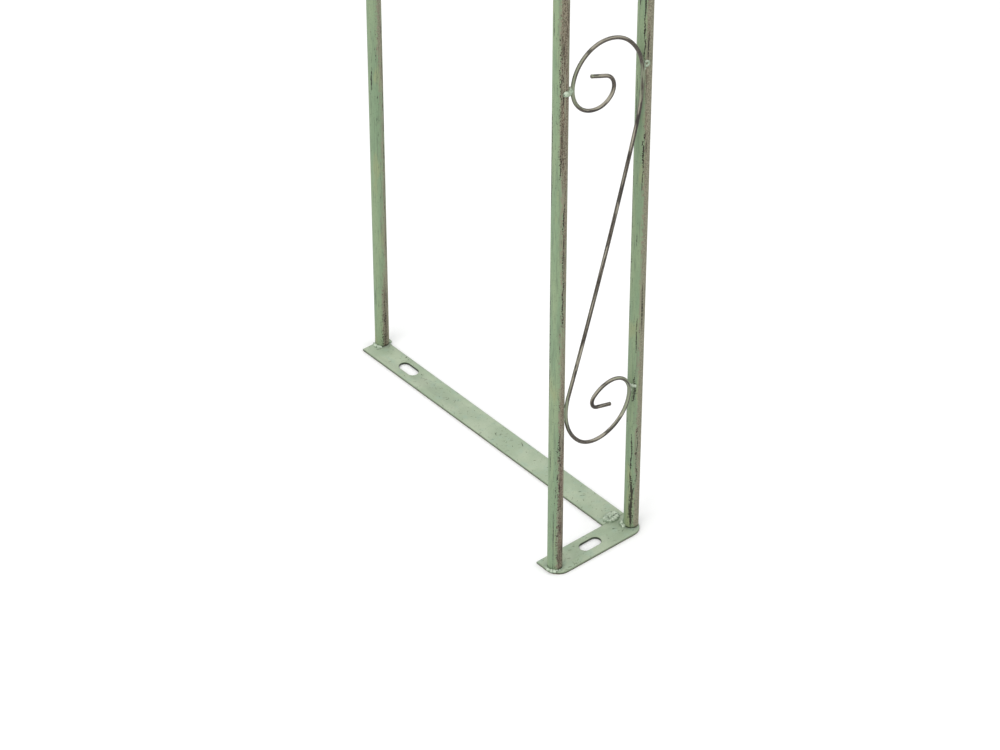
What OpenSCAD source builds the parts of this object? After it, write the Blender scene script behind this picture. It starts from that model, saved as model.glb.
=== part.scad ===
// Rose arch of round steel tube: each leg has a pair of front posts filled with wire scrolls,
// a single back post joined to them by rungs, and an L-shaped foot of flat bar with bolt slots.
// Millimetres, +Z up, +Y to the back. The origin is on the ground under the middle of the arch.

/* [Frame] */
// Half the distance between the axes of the two inner front posts
inner_post_x = 600; // [450:5:800]
// Distance between the axes of the inner and outer front posts
pair_gap = 107; // [104:1:112]
// Distance from the front posts' axes to the back post's axis
post_depth = 421; // [250:1:600]
// Height of the joints between the leg tubes and the arch tubes
joint_z = 1690; // [1690:5:2000]
// Straight length of arch tube above each leg joint
arch_tail = 60; // [50:5:150]

/* [Tube] */
// Outer diameter of the posts and arches
tube_d = 16; // [15:0.5:17]
// Wall thickness of the tube
tube_wall = 1.2; // [1:0.1:1.5]

/* [Foot] */
// Thickness of both foot bars
bar_t = 3; // [2:0.5:5]
// Width of the bar under the front posts
front_bar_w = 32; // [30:1:36]
// Width of the bar that runs to the back post
side_bar_w = 30; // [28:1:34]
// Length of each bolt slot, end to end
slot_len = 27; // [18:1:28]
// Width of each bolt slot
slot_w = 13; // [8:1:14]

/* [Wire] */
// Diameter of the scroll wire
wire_d = 4; // [3.5:0.5:4.5]
// Height of the middle of the lowest scroll
first_scroll_z = 392; // [385:1:400]
// Distance from one leg scroll to the next
scroll_pitch = 535; // [500:5:540]
// Distance between the middles of an arch scroll's two loops
arch_loop_gap = 380; // [360:5:385]

/* [Rungs] */
// Diameter of the rungs
rung_d = 6; // [5:0.5:8]
// Height of the lowest rung
first_rung_z = 700; // [680:5:720]
// Distance from one side rung to the next
rung_pitch = 230; // [200:5:235]

/* [Hidden] */

SAGE = [0.58, 0.66, 0.54];
PALE_SAGE = [0.67, 0.75, 0.64];
MINT = [0.78, 0.87, 0.79];
DARK_WIRE = [0.30, 0.30, 0.26];
ZINC = [0.62, 0.63, 0.65];

tube_r = tube_d / 2;
bore_r = tube_r - tube_wall;
wire_r = wire_d / 2;
outer_post_x = inner_post_x + pair_gap;
spring_z = joint_z + arch_tail;
mid_arch_r = inner_post_x + pair_gap / 2;

// The front bar's edges stand this far in front of and behind the front posts' axes.
bar_front = 14.5;
bar_back = front_bar_w - bar_front;
// Its ends pass the posts' axes by these lengths, and its front corners are round.
outer_end = 10;
inner_end = 8;
corner_r = 16;
// The side bar passes the inner posts' axis by this much, and the back post's axis by less.
side_bar_in = 6;
side_bar_end = 5;
// The slots' middles, measured from the inner front post's axis.
front_slot = [-55, 3];
side_slot = [-8, 363.5];

// The wire runs just in front of the posts' axes.
wire_y = -7;
// Wire pieces stop this far from each seam, inside a bead that is a hair thicker than the wire.
seam_gap = 0.1;
seam_r = wire_r + 0.05;
// The beads of weld between the wire and the posts.
weld_r = 3.2;
weld_len = 7;

// A leg scroll, from its upper free end to its lower one: [radius, turn] for a bend and
// [length, 0] for a straight, with left turns positive and angles in degrees.
LEG_SCROLL = [
    [20, 0], [16, -115], [22, -45], [32, -45], [34, -45], [40, -45], [39, -45], [46, -45],
    [62, -45], [240, -14.4], [5500, -3.1], [72, 17.5], [60, 45], [37, 45], [43, 45], [41, 45],
    [25, 90], [33, 45], [9, 120], [19, 0]
];
LEG_SCROLL_START = [-21, 203];
LEG_SCROLL_HEADING = -20;
// The scroll's widest points are seams of that list: these are their numbers in it.
UPPER_LEFT_SEAM = 5;
UPPER_RIGHT_SEAM = 9;
LOWER_LEFT_SEAM = 12;
LOWER_RIGHT_SEAM = 16;

// Half of an arch scroll, from the middle of its straight to a free end.
arch_loop_r = 44.5;
arch_lean = asin(2 * arch_loop_r / arch_loop_gap);
arch_straight = sqrt(pow(arch_loop_gap, 2) - pow(2 * arch_loop_r, 2));
HALF_ARCH_SCROLL = [
    [arch_straight / 2, 0], [arch_loop_r, arch_lean + 180], [36, 45], [31, 45], [22, 45],
    [16, 115], [18, 0]
];
// Half the angle that an arch scroll's loops span at the middle of the front band.
loop_half_angle = asin(arch_loop_gap / 2 / mid_arch_r);
arch_scroll_r = mid_arch_r * cos(loop_half_angle);
LOWER_ARCH_SCROLL = 22.5;
UPPER_ARCH_SCROLL = 67.5;

side_rung_count = 5;
ROOF_RUNG_ANGLES = [12 : 22 : 78];

spigot_r = bore_r - 0.2;
spigot_wall = 1.5;
spigot_half = 40;
crown_spigot_angle = 4;
// The screws sit this far on each side of a joint.
screw_offset = 20;
crown_screw_angle = 2;
screw_d = 5;
hole_d = 5.4;
head_d = 9.5;
head_h = 2.8;
socket_af = 3;
nut_af = 8;
nut_h = 4;
thread_end = 1;

// The foot's front edge and the rear screw heads are equally far from the origin.
front_y = (bar_front - post_depth - tube_r - head_h) / 2;
back_y = front_y + post_depth;

// Both halves are drawn as the left one, with the origin on the inner front post's axis.
module on_side(right) {
    if (right) mirror([1, 0, 0]) children();
    else children();
}

module leg() {
    translate([-inner_post_x, front_y, 0]) children();
}

// The arch's own frame: X to the right, Y up and Z to the front, about the middle of the bend.
module arch(y) {
    translate([0, y, spring_z]) rotate([90, 0, 0]) children();
}

// A place on the left half of an arch, this angle up from the leg, with X to the arch's middle.
module on_arch(angle, radius) {
    rotate([0, 0, 180 - angle]) translate([radius, 0, 0]) rotate([0, 0, 180]) children();
}

module slot(at, along_y) {
    translate([at[0], at[1], -1]) rotate([0, 0, along_y ? 90 : 0]) {
        translate([-(slot_len - slot_w) / 2, -slot_w / 2, 0])
            cube([slot_len - slot_w, slot_w, bar_t + 2]);
        for (side = [-1, 1])
            translate([side * (slot_len - slot_w) / 2, 0, 0])
                cylinder(d = slot_w, h = bar_t + 2, $fn = 48);
    }
}

module front_foot_bar() {
    left = -pair_gap - outer_end;
    color(PALE_SAGE) difference() {
        union() {
            translate([left, corner_r - bar_front, 0])
                cube([inner_end - left, front_bar_w - corner_r, bar_t]);
            translate([left + corner_r, -bar_front, 0])
                cube([inner_end - left - 2 * corner_r, front_bar_w, bar_t]);
            for (x = [left + corner_r, inner_end - corner_r])
                translate([x, corner_r - bar_front, 0]) cylinder(r = corner_r, h = bar_t, $fn = 64);
        }
        slot(front_slot, false);
    }
}

module side_foot_bar() {
    color(PALE_SAGE) difference() {
        translate([side_bar_in - side_bar_w, bar_back, 0])
            cube([side_bar_w, post_depth + side_bar_end - bar_back, bar_t]);
        slot(side_slot, true);
    }
}

// A screw hole across a tube, along the front-to-back direction.
module cross_hole(z) {
    translate([0, 0, z]) rotate([90, 0, 0])
        cylinder(d = hole_d, h = tube_d + 2, center = true, $fn = 32);
}

module post(at) {
    color(SAGE) translate([at[0], at[1], 0]) difference() {
        translate([0, 0, bar_t]) cylinder(r = tube_r, h = joint_z - bar_t, $fn = 48);
        translate([0, 0, bar_t - 1]) cylinder(r = bore_r, h = joint_z - bar_t + 2, $fn = 48);
        cross_hole(joint_z - screw_offset);
    }
}

// A quarter of a ring of round section from the leg's side up to the crown.
module quarter_ring(radius, section_r) {
    rotate([0, 0, 90]) rotate_extrude(angle = 90, $fn = 180)
        translate([radius, 0]) circle(r = section_r, $fn = 48);
}

module arch_tube(radius, y) {
    color(SAGE) difference() {
        arch_rod(radius, y, tube_r, 0);
        arch_rod(radius, y, bore_r, 1);
        translate([-radius, y, 0]) cross_hole(joint_z + screw_offset);
        arch(y) on_arch(90 - crown_screw_angle, radius)
            cylinder(d = hole_d, h = tube_d + 2, center = true, $fn = 32);
    }
}

// The solid rod that fills an arch tube, made longer at the joint and the crown by a margin.
module arch_rod(radius, y, section_r, margin) {
    translate([-radius, y, joint_z - margin])
        cylinder(r = section_r, h = arch_tail + margin, $fn = 48);
    arch(y) quarter_ring(radius, section_r);
    if (margin > 0)
        arch(y) translate([0, radius, 0]) rotate([0, 90, 0])
            cylinder(r = section_r, h = margin, $fn = 48);
}

// Where a step of a bent wire ends, from where it starts and which way it heads.
function step_end(at, heading, step) =
    step[1] == 0
        ? at + step[0] * [cos(heading), sin(heading)]
        : at + sign(step[1]) * step[0]
            * [sin(heading + step[1]) - sin(heading), cos(heading) - cos(heading + step[1])];

// The place and heading at the start of every step, and at the end of the last.
function walk(path, at, heading, i = 0) =
    i == len(path)
        ? [[at, heading]]
        : concat([[at, heading]],
            walk(path, step_end(at, heading, path[i]), heading + path[i][1], i + 1));

module bent_wire(path, start, start_heading) {
    places = walk(path, start, start_heading);
    last = len(path) - 1;
    for (i = [0 : last])
        translate(places[i][0]) rotate([0, 0, places[i][1]])
            wire_step(path[i][0], path[i][1], i == 0 ? 0 : seam_gap, i == last ? 0 : seam_gap);
    for (i = [1 : last])
        translate(places[i][0]) rotate([0, 90, places[i][1]]) rotate([0, 0, 45])
            sphere(r = seam_r, $fn = 24);
}

// One straight or bend that starts at the origin along +X, cut short at both ends.
module wire_step(size, turn, start_cut, end_cut) {
    if (turn == 0)
        translate([start_cut, 0, 0]) rotate([0, 90, 0])
            cylinder(r = wire_r, h = size - start_cut - end_cut, $fn = 24);
    else {
        to_degrees = 180 / PI / size;
        from = turn > 0 ? -90 + start_cut * to_degrees : 90 + turn + end_cut * to_degrees;
        translate([0, sign(turn) * size, 0]) rotate([0, 0, from])
            rotate_extrude(angle = abs(turn) - (start_cut + end_cut) * to_degrees, $fn = 96)
                translate([size, 0]) circle(r = wire_r, $fn = 24);
    }
}

// The middle of the front pair at a scroll's height, with X across the pair and Y up.
module at_leg_scroll(number) {
    translate([-pair_gap / 2, 0, first_scroll_z + number * scroll_pitch])
        rotate([90, 0, 0]) children();
}

module leg_scroll(number) {
    color(DARK_WIRE) at_leg_scroll(number) translate([0, 0, -wire_y])
        bent_wire(LEG_SCROLL, LEG_SCROLL_START, LEG_SCROLL_HEADING);
}

module arch_scroll(angle) {
    color(DARK_WIRE) arch(front_y) translate([0, 0, -wire_y])
        on_arch(angle, arch_scroll_r)
            for (end = [0, 180])
                rotate([0, 0, end]) bent_wire(HALF_ARCH_SCROLL, [0, 0], 90 - arch_lean);
}

// A bead of weld between a tube along Z at the origin and a wire beside it at this distance.
module wire_weld(wire_x) {
    reach = norm([wire_x, wire_y]);
    rotate([0, 0, atan2(wire_y, wire_x)]) linear_extrude(height = weld_len, center = true)
        difference() {
            translate([(tube_r + reach - wire_r) / 2, 0]) circle(r = weld_r, $fn = 32);
            circle(r = tube_r, $fn = 48);
            translate([reach, 0]) circle(r = wire_r + 0.1, $fn = 32);
        }
}

module scroll_welds() {
    places = walk(LEG_SCROLL, LEG_SCROLL_START, LEG_SCROLL_HEADING);
    color(MINT) for (number = [0 : 2]) {
        for (seam = [UPPER_LEFT_SEAM, LOWER_LEFT_SEAM])
            translate([-pair_gap, 0, first_scroll_z + number * scroll_pitch + places[seam][0][1]])
                wire_weld(pair_gap / 2 + places[seam][0][0]);
        for (seam = [UPPER_RIGHT_SEAM, LOWER_RIGHT_SEAM])
            translate([0, 0, first_scroll_z + number * scroll_pitch + places[seam][0][1]])
                wire_weld(places[seam][0][0] - pair_gap / 2);
    }
}

module arch_scroll_welds() {
    color(MINT) for (middle = [LOWER_ARCH_SCROLL, UPPER_ARCH_SCROLL], side = [-1, 1]) {
        angle = middle + side * loop_half_angle;
        arch(front_y) on_arch(angle, outer_post_x) rotate([-90, 0, 0])
            wire_weld(pair_gap / 2 - arch_loop_r);
        arch(front_y) on_arch(angle, inner_post_x) rotate([-90, 0, 0])
            wire_weld(arch_loop_r - pair_gap / 2);
    }
}

// A rod along Y between two tubes' axes, without what lies inside the tubes.
module rung() {
    rotate([-90, 0, 0]) cylinder(d = rung_d, h = post_depth, $fn = 32);
}

module side_rungs() {
    color(SAGE) difference() {
        for (number = [0 : side_rung_count - 1])
            translate([0, 0, first_rung_z + number * rung_pitch]) rung();
        for (y = [0, post_depth])
            translate([0, y, first_rung_z - 20])
                cylinder(r = tube_r, h = side_rung_count * rung_pitch, $fn = 48);
    }
}

// The rounded weld round both ends of a rung, before the tubes and the rung are cut out of it.
module rung_weld_blanks() {
    for (end = [0, 1])
        translate([0, end * post_depth, 0]) rotate([end == 0 ? -90 : 90, 0, 0])
            translate([0, 0, tube_r - 2])
                cylinder(r1 = rung_d / 2 + 3.2, r2 = rung_d / 2 + 0.3, h = 4.5, $fn = 32);
}

module rung_welds() {
    color(MINT) difference() {
        for (number = [0 : side_rung_count - 1])
            translate([0, 0, first_rung_z + number * rung_pitch]) rung_weld_blanks();
        for (number = [0 : side_rung_count - 1])
            translate([0, 0, first_rung_z + number * rung_pitch]) rung();
        for (y = [0, post_depth])
            translate([0, y, first_rung_z - 20])
                cylinder(r = tube_r, h = side_rung_count * rung_pitch, $fn = 48);
    }
}

module at_roof_rungs() {
    for (angle = ROOF_RUNG_ANGLES)
        translate([-inner_post_x * cos(angle), front_y, spring_z + inner_post_x * sin(angle)])
            children();
}

module inner_arch_rods() {
    for (y = [front_y, back_y]) arch(y) quarter_ring(inner_post_x, tube_r);
}

module roof_rungs() {
    color(SAGE) difference() {
        at_roof_rungs() rung();
        inner_arch_rods();
    }
}

module roof_rung_welds() {
    color(MINT) difference() {
        at_roof_rungs() rung_weld_blanks();
        at_roof_rungs() rung();
        inner_arch_rods();
    }
}

// A fillet weld on the bar along part of a post's foot, from one bearing to another.
module foot_fillet(at, from, to, width) {
    translate([at[0], at[1], bar_t]) rotate([0, 0, from])
        rotate_extrude(angle = to - from, $fn = 64)
            polygon([[tube_r, 0], [tube_r + width, 0], [tube_r + width * 0.7, 1.6], [tube_r, 4]]);
}

// A lump of weld on the outside of the back post, where the post overhangs the bar's edge.
module edge_weld() {
    difference() {
        translate([tube_r - 0.4, post_depth - 4.6, bar_t]) sphere(r = 2.6, $fn = 32);
        translate([0, post_depth, -1]) cylinder(r = tube_r, h = 20, $fn = 48);
        translate([side_bar_in - side_bar_w, bar_back, -1])
            cube([side_bar_w, post_depth, bar_t + 1]);
    }
}

// The oval bead across the joint of the two bars.
module bar_bead() {
    length = 11;
    bead_r = 7;
    sunk = 5.2;
    translate([-9.5 - length / 2, bar_back + 3, bar_t]) difference() {
        translate([0, 0, -sunk]) {
            rotate([0, 90, 0]) cylinder(r = bead_r, h = length, $fn = 48);
            for (x = [0, length]) translate([x, 0, 0]) sphere(r = bead_r, $fn = 48);
        }
        translate([-bead_r - 1, -bead_r - 1, -2 * bead_r])
            cube([length + 2 * bead_r + 2, 2 * bead_r + 2, 2 * bead_r]);
    }
}

module foot_welds() {
    color(MINT) {
        foot_fillet([0, 0], 115, 180, 4);
        foot_fillet([-pair_gap, 0], 150, 262, 2);
        foot_fillet([0, post_depth], 165, 215, 4);
        edge_weld();
        bar_bead();
    }
}

module at_posts() {
    for (at = [[-pair_gap, 0, 0], [0, 0, 0], [0, post_depth, 180]])
        translate([at[0], at[1], joint_z]) rotate([0, 0, at[2]]) children();
}

module leg_spigots() {
    color(ZINC) at_posts() difference() {
        cylinder(r = spigot_r, h = 2 * spigot_half, center = true, $fn = 48);
        cylinder(r = spigot_r - spigot_wall, h = 2 * spigot_half + 2, center = true, $fn = 48);
        for (side = [-1, 1]) cross_hole(side * screw_offset);
    }
}

// A button-head screw along Z: its head rests on the tube's top and its thread points down.
module screw() {
    difference() {
        union() {
            translate([0, 0, -tube_r - nut_h - thread_end])
                cylinder(d = screw_d, h = 2 * tube_r + nut_h + thread_end + 0.5, $fn = 32);
            translate([0, 0, tube_r]) cylinder(d = head_d, h = head_h / 3, $fn = 48);
            translate([0, 0, tube_r + head_h / 3])
                cylinder(d1 = head_d, d2 = head_d * 0.55, h = head_h * 2 / 3, $fn = 48);
        }
        translate([0, 0, tube_r + head_h - 1.8])
            cylinder(d = socket_af / cos(30), h = 3, $fn = 6);
    }
}

module nut() {
    translate([0, 0, -tube_r - nut_h]) difference() {
        cylinder(d = nut_af / cos(30), h = nut_h, $fn = 6);
        translate([0, 0, -1]) cylinder(d = screw_d, h = nut_h + 2, $fn = 32);
    }
}

module at_leg_screws() {
    at_posts() for (side = [-1, 1])
        translate([0, 0, side * screw_offset]) rotate([90, 0, 0]) children();
}

module leg_screws() {
    color(ZINC) at_leg_screws() screw();
}

module leg_nuts() {
    color(ZINC) at_leg_screws() nut();
}

// The three joints at the top, with the heads on the outside of the front and back frames.
module at_crowns() {
    for (joint = [[outer_post_x, front_y, 0], [inner_post_x, front_y, 0], [inner_post_x, back_y, 180]])
        arch(joint[1]) rotate([0, joint[2], 0]) {
            $crown_r = joint[0];
            children();
        }
}

module crown_spigots() {
    color(ZINC) at_crowns() difference() {
        rotate([0, 0, 90 - crown_spigot_angle]) rotate_extrude(angle = 2 * crown_spigot_angle, $fn = 360)
            translate([$crown_r, 0]) difference() {
                circle(r = spigot_r, $fn = 48);
                circle(r = spigot_r - spigot_wall, $fn = 48);
            }
        for (side = [-1, 1])
            rotate([0, 0, side * crown_screw_angle]) translate([0, $crown_r, 0])
                cylinder(d = hole_d, h = tube_d, center = true, $fn = 32);
    }
}

module at_crown_screws() {
    at_crowns() for (side = [-1, 1])
        rotate([0, 0, side * crown_screw_angle]) translate([0, $crown_r, 0]) children();
}

module crown_screws() {
    color(ZINC) at_crown_screws() screw();
}

module crown_nuts() {
    color(ZINC) at_crown_screws() nut();
}

on_side(false) leg() front_foot_bar();  // left_front_foot_bar
on_side(false) leg() side_foot_bar();  // left_side_foot_bar
on_side(false) leg() post([-pair_gap, 0]);  // left_outer_front_post
on_side(false) leg() post([0, 0]);  // left_inner_front_post
on_side(false) leg() post([0, post_depth]);  // left_back_post
on_side(false) leg() foot_welds();  // left_foot_welds
on_side(false) leg() leg_scroll(0);  // left_lower_scroll
on_side(false) leg() leg_scroll(1);  // left_middle_scroll
on_side(false) leg() leg_scroll(2);  // left_upper_scroll
on_side(false) leg() scroll_welds();  // left_scroll_welds
on_side(false) leg() side_rungs();  // left_side_rungs
on_side(false) leg() rung_welds();  // left_rung_welds
on_side(false) arch_tube(outer_post_x, front_y);  // left_outer_front_arch
on_side(false) arch_tube(inner_post_x, front_y);  // left_inner_front_arch
on_side(false) arch_tube(inner_post_x, back_y);  // left_back_arch
on_side(false) arch_scroll(LOWER_ARCH_SCROLL);  // left_lower_arch_scroll
on_side(false) arch_scroll(UPPER_ARCH_SCROLL);  // left_upper_arch_scroll
on_side(false) arch_scroll_welds();  // left_arch_scroll_welds
on_side(false) roof_rungs();  // left_roof_rungs
on_side(false) roof_rung_welds();  // left_roof_rung_welds
on_side(false) leg() leg_spigots();  // left_leg_spigots
on_side(false) leg() leg_screws();  // left_leg_screws
on_side(false) leg() leg_nuts();  // left_leg_nuts

on_side(true) leg() front_foot_bar();  // right_front_foot_bar
on_side(true) leg() side_foot_bar();  // right_side_foot_bar
on_side(true) leg() post([-pair_gap, 0]);  // right_outer_front_post
on_side(true) leg() post([0, 0]);  // right_inner_front_post
on_side(true) leg() post([0, post_depth]);  // right_back_post
on_side(true) leg() foot_welds();  // right_foot_welds
on_side(true) leg() leg_scroll(0);  // right_lower_scroll
on_side(true) leg() leg_scroll(1);  // right_middle_scroll
on_side(true) leg() leg_scroll(2);  // right_upper_scroll
on_side(true) leg() scroll_welds();  // right_scroll_welds
on_side(true) leg() side_rungs();  // right_side_rungs
on_side(true) leg() rung_welds();  // right_rung_welds
on_side(true) arch_tube(outer_post_x, front_y);  // right_outer_front_arch
on_side(true) arch_tube(inner_post_x, front_y);  // right_inner_front_arch
on_side(true) arch_tube(inner_post_x, back_y);  // right_back_arch
on_side(true) arch_scroll(LOWER_ARCH_SCROLL);  // right_lower_arch_scroll
on_side(true) arch_scroll(UPPER_ARCH_SCROLL);  // right_upper_arch_scroll
on_side(true) arch_scroll_welds();  // right_arch_scroll_welds
on_side(true) roof_rungs();  // right_roof_rungs
on_side(true) roof_rung_welds();  // right_roof_rung_welds
on_side(true) leg() leg_spigots();  // right_leg_spigots
on_side(true) leg() leg_screws();  // right_leg_screws
on_side(true) leg() leg_nuts();  // right_leg_nuts

crown_spigots();
crown_screws();
crown_nuts();
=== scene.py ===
"""Looks of the rose arch: distressed green paint on round tube, dark wire scrolls, flat foot bars,
weld beads and zinc screws. Metres and degrees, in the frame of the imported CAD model."""

import functools
import math

import bmesh
import bpy
import numpy as np
from mathutils import Matrix, Vector, geometry, noise


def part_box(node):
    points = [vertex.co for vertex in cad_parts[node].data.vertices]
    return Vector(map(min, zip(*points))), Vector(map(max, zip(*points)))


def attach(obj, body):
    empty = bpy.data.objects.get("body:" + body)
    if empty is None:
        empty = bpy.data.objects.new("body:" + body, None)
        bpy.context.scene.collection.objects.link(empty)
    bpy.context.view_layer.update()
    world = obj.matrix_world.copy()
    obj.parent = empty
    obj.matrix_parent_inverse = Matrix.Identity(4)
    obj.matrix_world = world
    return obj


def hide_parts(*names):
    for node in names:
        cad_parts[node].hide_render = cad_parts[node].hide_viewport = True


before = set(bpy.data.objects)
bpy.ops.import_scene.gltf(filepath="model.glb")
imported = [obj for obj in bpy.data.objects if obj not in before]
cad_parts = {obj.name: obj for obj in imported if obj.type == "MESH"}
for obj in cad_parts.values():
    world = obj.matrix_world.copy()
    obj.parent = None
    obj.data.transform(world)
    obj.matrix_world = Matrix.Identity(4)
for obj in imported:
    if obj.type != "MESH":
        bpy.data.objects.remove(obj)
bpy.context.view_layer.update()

MM = 0.001
SIDES = ("left", "right")

# Tube, wire and bar sizes, as in the CAD model.
TUBE_R = 8 * MM
BORE_R = 6.8 * MM
WIRE_R = 2 * MM
RUNG_R = 3 * MM
WIRE_Y = -7 * MM
BAR_T = 3 * MM
CORNER_R = 16 * MM
SLOT_LENGTH = 27 * MM
SLOT_WIDTH = 13 * MM
FRONT_SLOT = (-55 * MM, 3 * MM)
SIDE_SLOT = (-8 * MM, 363.5 * MM)

# The bars' overhangs past the posts' axes, which give the axes from the bars' own boxes.
BAR_FRONT = 14.5 * MM
OUTER_END = 10 * MM
SIDE_BAR_IN = 6 * MM
SIDE_BAR_END = 5 * MM

front_bar_low, front_bar_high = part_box("left_front_foot_bar")
side_bar_low, side_bar_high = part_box("left_side_foot_bar")
INNER_X = SIDE_BAR_IN - side_bar_high.x
OUTER_X = -front_bar_low.x - OUTER_END
FRONT_Y = front_bar_low.y + BAR_FRONT
BACK_Y = side_bar_high.y - SIDE_BAR_END
BAR_SEAM_Y = side_bar_low.y
JOINT_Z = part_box("left_inner_front_post")[1].z
ARCH_TAIL = 60 * MM
SPRING_Z = JOINT_Z + ARCH_TAIL

FIRST_RUNG_Z = 700 * MM
RUNG_PITCH = 230 * MM
RUNG_COUNT = 5
ROOF_RUNG_ANGLES = (12, 34, 56, 78)
SIDE_RUNG_PLACES = [(-INNER_X, FIRST_RUNG_Z + n * RUNG_PITCH) for n in range(RUNG_COUNT)]
ROOF_RUNG_PLACES = [
    (-INNER_X * math.cos(math.radians(a)), SPRING_Z + INNER_X * math.sin(math.radians(a)))
    for a in ROOF_RUNG_ANGLES
]
FIRST_SCROLL_Z = 392 * MM
SCROLL_PITCH = 535 * MM
LEG_SCROLLS = ("lower_scroll", "middle_scroll", "upper_scroll")
MIDDLE_R = (INNER_X + OUTER_X) / 2

# A leg scroll from its upper free end: (radius, turn) for a bend and (length, 0) for a straight,
# in millimetres and degrees, with left turns positive.
LEG_SCROLL = (
    (20, 0), (16, -115), (22, -45), (32, -45), (34, -45), (40, -45), (39, -45), (46, -45),
    (62, -45), (240, -14.4), (5500, -3.1), (72, 17.5), (60, 45), (37, 45), (43, 45), (41, 45),
    (25, 90), (33, 45), (9, 120), (19, 0),
)
LEG_SCROLL_START = (-21, 203)
LEG_SCROLL_HEADING = -20
# The steps of that list after which the wire touches a post: left, right, left and right.
WELDED_STEPS = (5, 9, 12, 16)

# Half of an arch scroll, from its middle to a free end.
ARCH_LOOP_R = 44.5
ARCH_LOOP_GAP = 380
ARCH_LEAN = math.degrees(math.asin(2 * ARCH_LOOP_R / ARCH_LOOP_GAP))
ARCH_STRAIGHT = math.sqrt(ARCH_LOOP_GAP**2 - (2 * ARCH_LOOP_R) ** 2)
HALF_ARCH_SCROLL = (
    (ARCH_STRAIGHT / 2, 0), (ARCH_LOOP_R, ARCH_LEAN + 180), (36, 45), (31, 45), (22, 45),
    (16, 115), (18, 0),
)
ARCH_SCROLLS = {"lower_arch_scroll": 22.5, "upper_arch_scroll": 67.5}
# Half the angle between the middles of an arch scroll's loops, seen from the arch's centre.
ARCH_HALF_ANGLE = math.asin(ARCH_LOOP_GAP * MM / 2 / MIDDLE_R)

# Where the screws sit on both sides of a joint.
SCREW_OFFSET = 20 * MM
CROWN_SCREW_ANGLE = 2
HEAD_R = 4.75 * MM
HEAD_H = 2.8 * MM
SOCKET_AF = 3 * MM
SOCKET_DEPTH = 1.8 * MM
SCREW_R = 2.5 * MM
THREAD_PITCH = 0.8 * MM
THREAD_TURNS = 6
NUT_AF = 8 * MM
NUT_H = 4 * MM

# The side of the tubes that the paint is rubbed off, in degrees round the tube, and the middle
# of the beige strip along it.
WORN_BEARING = 285
BEIGE_BEARING = 325
# Painted highlight on wire and welds on the side that faces this way, towards the key light.
LIT_SIDE_WAY = (-0.45, -0.35, 0.82)

# How many times brighter than its base colour each paint looks under the studio light.
TUBE_GAIN = 1.3
BAR_GAIN = 1.1
WELD_GAIN = 1.1


# Materials


def srgb(red, green, blue, gain=1.0):
    """A linear base colour that looks like this screen colour, 0 to 255, in light of this gain."""
    parts = [c / 255 for c in (red, green, blue)]
    linear = [c / 12.92 if c <= 0.04045 else ((c + 0.055) / 1.055) ** 2.4 for c in parts]
    return tuple(c / gain for c in linear) + (1.0,)


# Where the Mix node keeps its factor and colours, since its sockets of one name differ by type.
MIX_COLOUR_INPUTS = (0, 6, 7)
MIX_COLOUR_OUTPUT = 2


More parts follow.
